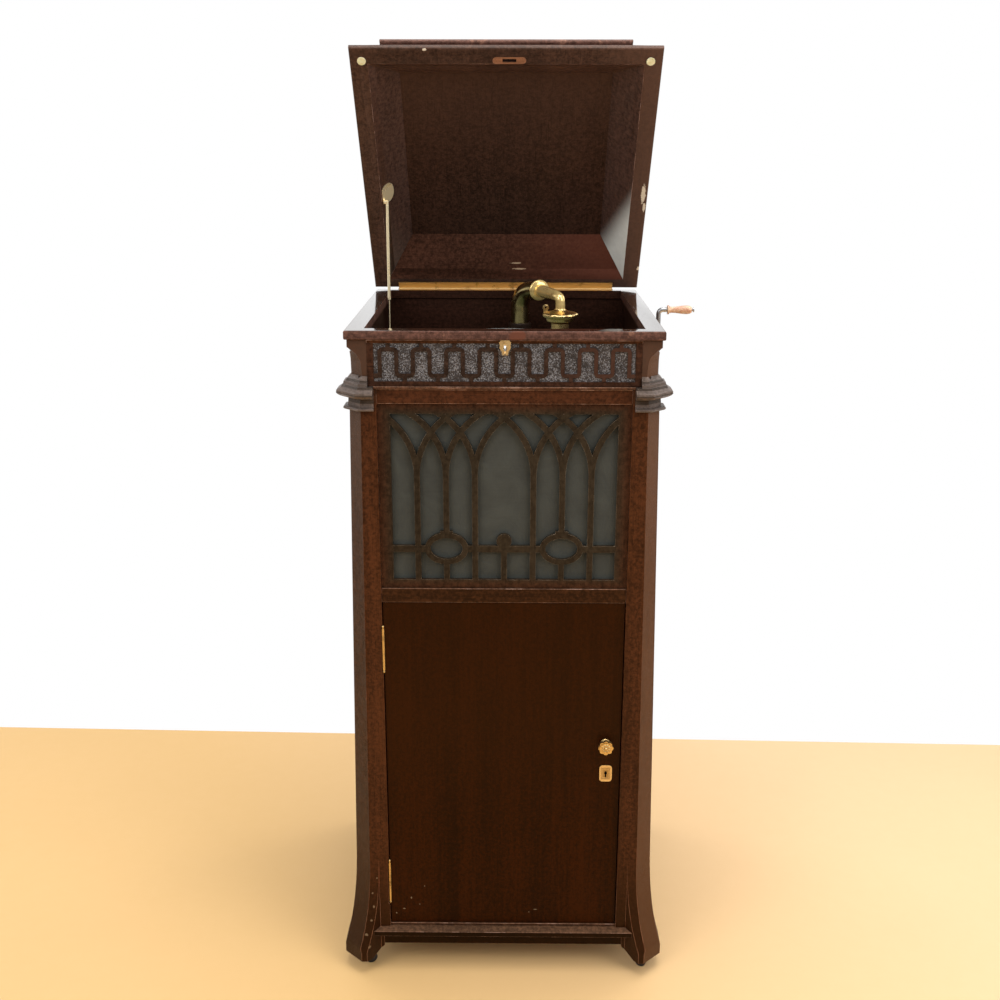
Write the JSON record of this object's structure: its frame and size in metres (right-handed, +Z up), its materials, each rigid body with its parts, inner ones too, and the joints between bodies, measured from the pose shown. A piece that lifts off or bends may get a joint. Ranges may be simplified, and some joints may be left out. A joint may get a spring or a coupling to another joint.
{
  "type": "cabinet gramophone",
  "caption": "Upright wooden gramophone cabinet with canted flared posts, tracery grille, record door, sloped lid on a stay, turntable, swinging horn arm, crank and casters.",
  "frame": {"origin": "on the floor under the middle of the overall width, crank included; the cabinet's own middle plane lies at x = -26.2 mm and the middle of its rim at y = -2.2 mm", "axes": "+Z up, +X to the right seen from the front, front towards -Y"},
  "size_m": [0.6636, 0.6124, 1.7088],
  "materials": {
    "mahogany": "aged gloss varnish",
    "mahogany_red": "aged gloss varnish",
    "bare_wood": "unvarnished",
    "brass": "tarnished",
    "gilt": "polished",
    "steel": "satin",
    "nickel": "polished",
    "iron": "black enamel",
    "copper": "copper plated",
    "bumper": "aged",
    "cloth": "woven",
    "felt": "felt",
    "handle": "worn varnish"
  },
  "bodies": {
    "case": {"front_posts": "mahogany", "rear_posts": "mahogany", "post_capitals": "mahogany", "side_panels": "mahogany", "back_panel": "mahogany_red", "floor_board": "bare_wood", "base_mouldings": "mahogany_red", "top_rim": "mahogany_red", "frieze_panel": "mahogany", "frieze_fret": "mahogany_red", "front_rails": "mahogany_red", "grille_tracery": "mahogany", "grille_cloth": "cloth", "record_shelves": "bare_wood", "motor_board": "mahogany", "well_lining": "mahogany_red", "door_hinge_fixed": "brass", "lid_lock": "steel", "lid_escutcheon": "gilt", "lid_hinge_lower": "gilt", "caster_sockets": "iron", "motor_frame": "iron", "neck_flange": "iron"},
    "door": {"door_panel": "mahogany", "door_hinge_moving": "brass", "door_lock_plate": "gilt"},
    "knob": {"door_knob": "brass"},
    "lid": {"lid_frame": "mahogany", "lid_slopes": "mahogany_red", "lid_ceiling": "mahogany", "lid_top_board": "mahogany_red", "lid_bumpers": "bumper", "lid_strike_plate": "copper", "lid_hinge_upper": "gilt", "stay_bracket": "brass"},
    "swivel_eye": {"stay_eye": "brass"},
    "rod": {"stay_rod": "gilt"},
    "key": {"lid_key": "nickel"},
    "bolt": {"lid_bolt": "steel"},
    "crank": {"crank_arm": "steel"},
    "handle": {"crank_handle": "handle"},
    "barrel": {"spring_barrel": "steel"},
    "winding": {"winding_wheel": "brass"},
    "intermediate": {"intermediate_wheel": "brass"},
    "governor_rotor": {"governor": "brass"},
    "turntable_rotor": {"turntable": "steel", "turntable_felt": "felt"},
    "horn": {"horn_bell": "iron", "horn_neck": "gilt", "reproducer": "gilt"},
    "weight": {"reproducer_weight": "gilt"},
    "brake": {"brake_lever": "brass"},
    "swivel_front_left": {"caster_fork_front_left": "iron"},
    "wheel_front_left": {"caster_wheel_front_left": "iron"},
    "swivel_front_right": {"caster_fork_front_right": "iron"},
    "wheel_front_right": {"caster_wheel_front_right": "iron"},
    "swivel_rear_left": {"caster_fork_rear_left": "iron"},
    "wheel_rear_left": {"caster_wheel_rear_left": "iron"},
    "swivel_rear_right": {"caster_fork_rear_right": "iron"},
    "wheel_rear_right": {"caster_wheel_rear_right": "iron"}
  },
  "joints": [
    {"name": "lid_hinge", "type": "hinge", "parent": "case", "child": "lid", "pos_m": [-0.02618, 0.27879, 1.242], "axis": [1, 0, 0], "range_deg": [0, 52.4]},
    {"name": "stay_swivel", "type": "hinge", "parent": "case", "child": "swivel_eye", "pos_m": [-0.25517, 0.13179, 1.176], "axis": [1, 0, 0], "range_deg": [0, 52.71]},
    {"name": "stay_slide", "type": "slide", "parent": "swivel_eye", "child": "rod", "axis": [0, -0.0319, -0.9995], "range_m": [0, 0.14238]},
    {"name": "door_hinge", "type": "hinge", "parent": "case", "child": "door", "pos_m": [-0.24183, -0.27721, 0.43], "axis": [0, 0, -1], "range_deg": [0, 100]},
    {"name": "door_knob_turn", "type": "hinge", "parent": "door", "child": "knob", "pos_m": [0.16123, -0.27421, 0.482], "axis": [0, 1, 0], "range_deg": [0, 90]},
    {"name": "key_turn", "type": "hinge", "parent": "case", "child": "key", "pos_m": [-0.02517, -0.27021, 1.2125], "axis": [0, 1, 0], "range_deg": [0, 90]},
    {"name": "bolt_slide", "type": "slide", "parent": "case", "child": "bolt", "axis": [0, 0, 1], "range_m": [0, 0.006]},
    {"name": "crank_turn", "type": "hinge", "parent": "case", "child": "crank", "pos_m": [0.26482, 0.04779, 1.07], "axis": [1, 0, 0], "continuous": true},
    {"name": "handle_spin", "type": "hinge", "parent": "crank", "child": "handle", "pos_m": [0.29483, 0.04779, 1.232], "axis": [1, 0, 0], "continuous": true},
    {"name": "winding_spin", "type": "hinge", "parent": "case", "child": "winding", "pos_m": [0.02882, 0.04779, 1.054], "axis": [0, 0, 1], "continuous": true},
    {"name": "turntable_spin", "type": "hinge", "parent": "case", "child": "turntable_rotor", "pos_m": [-0.02618, 0.03579, 1.15], "axis": [0, 0, 1], "continuous": true},
    {"name": "intermediate_spin", "type": "hinge", "parent": "case", "child": "intermediate", "pos_m": [-0.01222, 0.08589, 1.118], "axis": [0, 0, 1], "continuous": true},
    {"name": "barrel_spin", "type": "hinge", "parent": "case", "child": "barrel", "pos_m": [0.02882, 0.04779, 1.108], "axis": [0, 0, 1], "continuous": true},
    {"name": "governor_spin", "type": "hinge", "parent": "case", "child": "governor_rotor", "pos_m": [-0.04507, 0.03579, 1.075], "axis": [0, 1, 0], "continuous": true},
    {"name": "horn_swing", "type": "hinge", "parent": "case", "child": "horn", "pos_m": [0.00243, 0.21279, 1.15], "axis": [0, 0, 1], "range_deg": [-19, 12]},
    {"name": "weight_tilt", "type": "hinge", "parent": "horn", "child": "weight", "pos_m": [0.07833, 0.08579, 1.203], "axis": [1, 0, 0], "range_deg": [-3, 0]},
    {"name": "brake_turn", "type": "hinge", "parent": "case", "child": "brake", "pos_m": [-0.17617, -0.11421, 1.15], "axis": [0, 0, 1], "range_deg": [0, 20]},
    {"name": "swivel_turn_front_left", "type": "hinge", "parent": "case", "child": "swivel_front_left", "pos_m": [-0.28918, -0.26721, 0.03], "axis": [0, 0, 1], "continuous": true},
    {"name": "wheel_spin_front_left", "type": "hinge", "parent": "swivel_front_left", "child": "wheel_front_left", "pos_m": [-0.28318, -0.26421, 0.011], "axis": [-0.4478, 0.8942, 0], "continuous": true},
    {"name": "swivel_turn_front_right", "type": "hinge", "parent": "case", "child": "swivel_front_right", "pos_m": [0.23683, -0.26721, 0.03], "axis": [0, 0, 1], "continuous": true},
    {"name": "wheel_spin_front_right", "type": "hinge", "parent": "swivel_front_right", "child": "wheel_front_right", "pos_m": [0.24282, -0.27021, 0.011], "axis": [0.4478, 0.8942, 0], "continuous": true},
    {"name": "swivel_turn_rear_left", "type": "hinge", "parent": "case", "child": "swivel_rear_left", "pos_m": [-0.28918, 0.24879, 0.03], "axis": [0, 0, 1], "continuous": true},
    {"name": "wheel_spin_rear_left", "type": "hinge", "parent": "swivel_rear_left", "child": "wheel_rear_left", "pos_m": [-0.29509, 0.25194, 0.011], "axis": [-0.4695, -0.8829, 0], "continuous": true},
    {"name": "swivel_turn_rear_right", "type": "hinge", "parent": "case", "child": "swivel_rear_right", "pos_m": [0.23683, 0.24879, 0.03], "axis": [0, 0, 1], "continuous": true},
    {"name": "wheel_spin_rear_right", "type": "hinge", "parent": "swivel_rear_right", "child": "wheel_rear_right", "pos_m": [0.23075, 0.24596, 0.011], "axis": [0.4226, -0.9063, 0], "continuous": true}
  ],
  "couplings": [
    {"joint": "stay_swivel", "follows": "lid_hinge", "ratio": 1.005},
    {"joint": "stay_slide", "follows": "lid_hinge", "m_per_rad": 0.15558},
    {"joint": "key_turn", "follows": "bolt_slide", "rad_per_m": 261.8},
    {"joint": "winding_spin", "follows": "crank_turn", "ratio": 0.21087},
    {"joint": "intermediate_spin", "follows": "turntable_spin", "ratio": -0.3},
    {"joint": "barrel_spin", "follows": "turntable_spin", "ratio": 0.081818},
    {"joint": "governor_spin", "follows": "turntable_spin", "ratio": 12}
  ]
}
